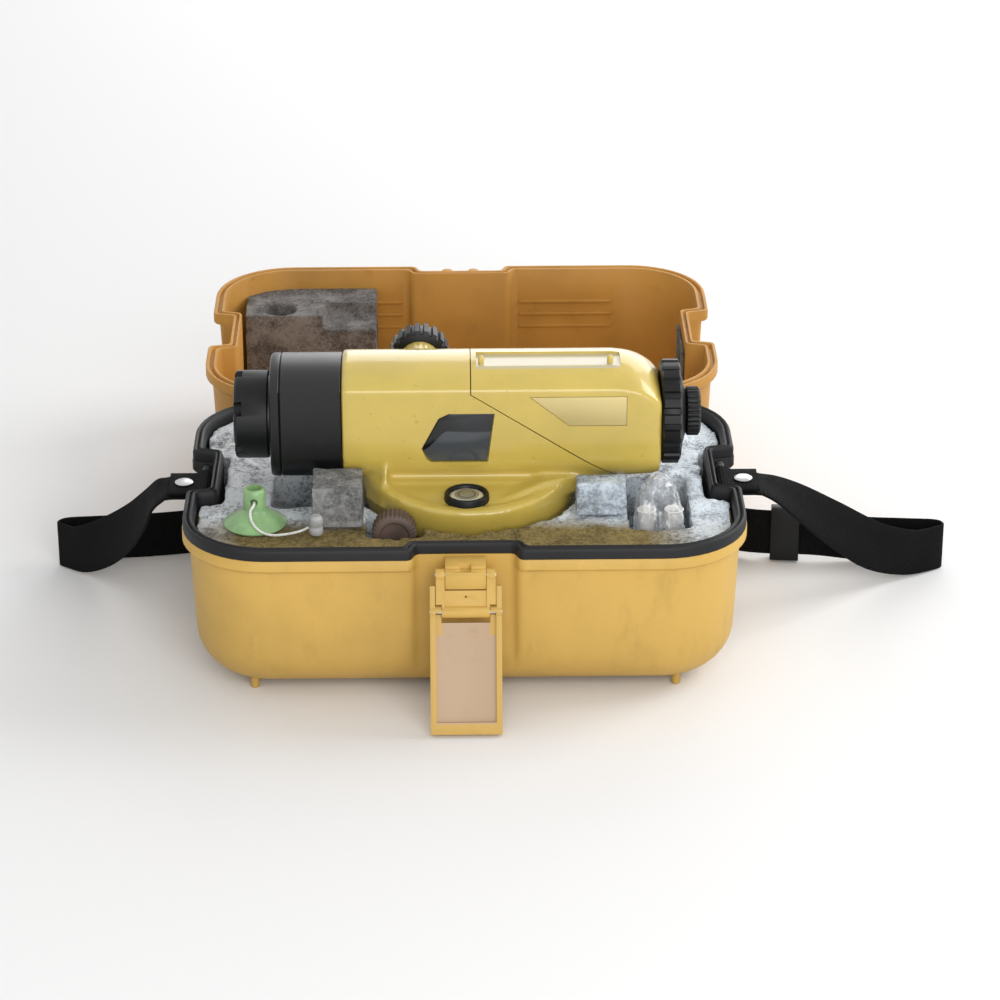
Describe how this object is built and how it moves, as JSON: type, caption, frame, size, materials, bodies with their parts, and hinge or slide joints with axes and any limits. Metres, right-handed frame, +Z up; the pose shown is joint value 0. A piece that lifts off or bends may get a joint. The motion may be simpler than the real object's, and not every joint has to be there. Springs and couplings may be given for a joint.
{
  "type": "automatic optical level in carrying case",
  "caption": "Surveyor's automatic optical level resting in the foam of an open moulded carrying case with hinged lid, over-centre latch, rubber seal and shoulder strap.",
  "frame": {"origin": "centre of the case tub's flat underside", "axes": "+Z up, -Y towards the latch side, +X towards the eyepiece end of the level"},
  "size_m": [0.5576, 0.4863, 0.1814],
  "materials": {
    "case_shell": "moulded plastic, fine grain",
    "seal_rubber": "matte",
    "foam_grey": "torn open-cell foam",
    "foam_brown": "dusty open-cell foam",
    "webbing": "ribbed woven webbing",
    "steel": "plain",
    "level_paint": "satin paint",
    "black_plastic": "satin",
    "black_paint": "satin paint",
    "glass": "polished",
    "mirror_glass": "dark viewing mirror",
    "brass": "turned",
    "alloy": "machined",
    "knob_brown": "faded rubber grip",
    "cup_green": "soft vinyl",
    "cord_white": "braided",
    "grey_plastic": "plain",
    "clear_film": "thin film"
  },
  "bodies": {
    "case": {"case_tub": "case_shell", "rim_seal": "seal_rubber", "foam_insert": "foam_grey", "foam_pillar_left": "foam_brown", "foam_pillar_right": "foam_grey", "hinge_pin": "steel", "latch_link_pin": "steel", "strap_bar_left": "steel", "strap_bar_right": "steel", "strap_rivet_left": "steel", "strap_rivet_right": "steel", "shoulder_strap": "webbing", "strap_slider": "black_plastic", "suction_cup": "cup_green", "cup_cord": "cord_white", "cord_toggle": "grey_plastic", "spares_bag": "clear_film"},
    "lid": {"case_lid": "case_shell", "lid_foam_block": "foam_brown", "lid_foam_pad": "foam_brown"},
    "latch_link": {"latch_link": "case_shell"},
    "latch_lever": {"latch_lever": "case_shell", "latch_lever_pin": "steel"},
    "level": {"main_housing": "level_paint", "rear_cover": "level_paint", "objective_barrel": "black_paint", "barrel_front_ring": "black_paint", "objective_lens": "glass", "eyepiece_ring": "black_plastic", "eyepiece_cone": "black_plastic", "eyepiece_lens": "glass", "reticle_cell": "alloy", "reticle_glass": "glass", "focus_guide": "alloy", "compensator_frame": "alloy", "compensator_pivot": "steel", "bubble_bezel": "black_plastic", "bubble_vial": "glass", "bubble_mirror": "mirror_glass", "name_plate": "level_paint", "bearing_bush": "brass"},
    "lens_cap": {"lens_cap": "black_plastic"},
    "focus": {"focus_knob": "black_plastic", "focus_pinion": "brass"},
    "focus_cell": {"focus_lens_cell": "alloy", "focus_lens": "glass", "focus_rack": "brass"},
    "compensator": {"compensator_prism": "glass"},
    "diopter": {"diopter_ring": "black_plastic"},
    "tangent": {"tangent_knob_near": "knob_brown", "tangent_knob_far": "knob_brown", "tangent_shaft": "steel"},
    "foot": {"tribrach": "black_paint", "base_plate": "alloy", "spindle": "steel", "horizontal_circle": "alloy", "drive_ring": "brass"},
    "footscrew_a": {"footscrew_1": "black_plastic"},
    "footscrew_b": {"footscrew_2": "black_plastic"},
    "footscrew_c": {"footscrew_3": "black_plastic"}
  },
  "joints": [
    {"name": "lid_hinge", "type": "hinge", "parent": "case", "child": "lid", "pos_m": [0, 0.1122, 0.09715], "axis": [-1, 0, 0], "range_deg": [-180, 0]},
    {"name": "latch_link_swing", "type": "hinge", "parent": "case", "child": "latch_link", "pos_m": [0, -0.118, 0.084], "axis": [1, 0, 0], "range_deg": [-160, 0]},
    {"name": "latch_lever_swing", "type": "hinge", "parent": "latch_link", "child": "latch_lever", "pos_m": [0, -0.125, 0.064], "axis": [-1, 0, 0], "range_deg": [0, 100]},
    {"name": "level_lift", "type": "slide", "parent": "case", "child": "level", "axis": [0, 0, 1], "range_m": [0, 0.2]},
    {"name": "lens_cap_pull", "type": "slide", "parent": "level", "child": "lens_cap", "axis": [-1, 0, 0], "range_m": [0, 0.016]},
    {"name": "focus_turn", "type": "hinge", "parent": "level", "child": "focus", "pos_m": [-0.026, 0.0305, 0.155], "axis": [0, 1, 0], "range_deg": [-97, 97]},
    {"name": "focus_travel", "type": "slide", "parent": "level", "child": "focus_cell", "axis": [1, 0, 0], "range_m": [-0.0055, 0.0055]},
    {"name": "compensator_swing", "type": "hinge", "parent": "level", "child": "compensator", "pos_m": [0.048, -0.008, 0.153], "axis": [0, 1, 0], "range_deg": [-0.25, 0.25]},
    {"name": "diopter_turn", "type": "hinge", "parent": "level", "child": "diopter", "pos_m": [0.131, -0.008, 0.137], "axis": [1, 0, 0], "range_deg": [-150, 150]},
    {"name": "tangent_turn", "type": "hinge", "parent": "level", "child": "tangent", "pos_m": [-0.041, -0.008, 0.089], "axis": [0, 1, 0], "continuous": true},
    {"name": "foot_swivel", "type": "hinge", "parent": "level", "child": "foot", "pos_m": [0.003, -0.008, 0.066], "axis": [0, 0, 1], "continuous": true},
    {"name": "footscrew_a_turn", "type": "hinge", "parent": "foot", "child": "footscrew_a", "pos_m": [0.003, 0.034, 0.05], "axis": [0, 0, 1], "range_deg": [-540, 540]},
    {"name": "footscrew_b_turn", "type": "hinge", "parent": "foot", "child": "footscrew_b", "pos_m": [-0.03337, -0.029, 0.05], "axis": [0, 0, 1], "range_deg": [-540, 540]},
    {"name": "footscrew_c_turn", "type": "hinge", "parent": "foot", "child": "footscrew_c", "pos_m": [0.03937, -0.029, 0.05], "axis": [0, 0, 1], "range_deg": [-540, 540]}
  ],
  "couplings": [
    {"joint": "focus_turn", "follows": "focus_travel", "rad_per_m": -285.71}
  ]
}
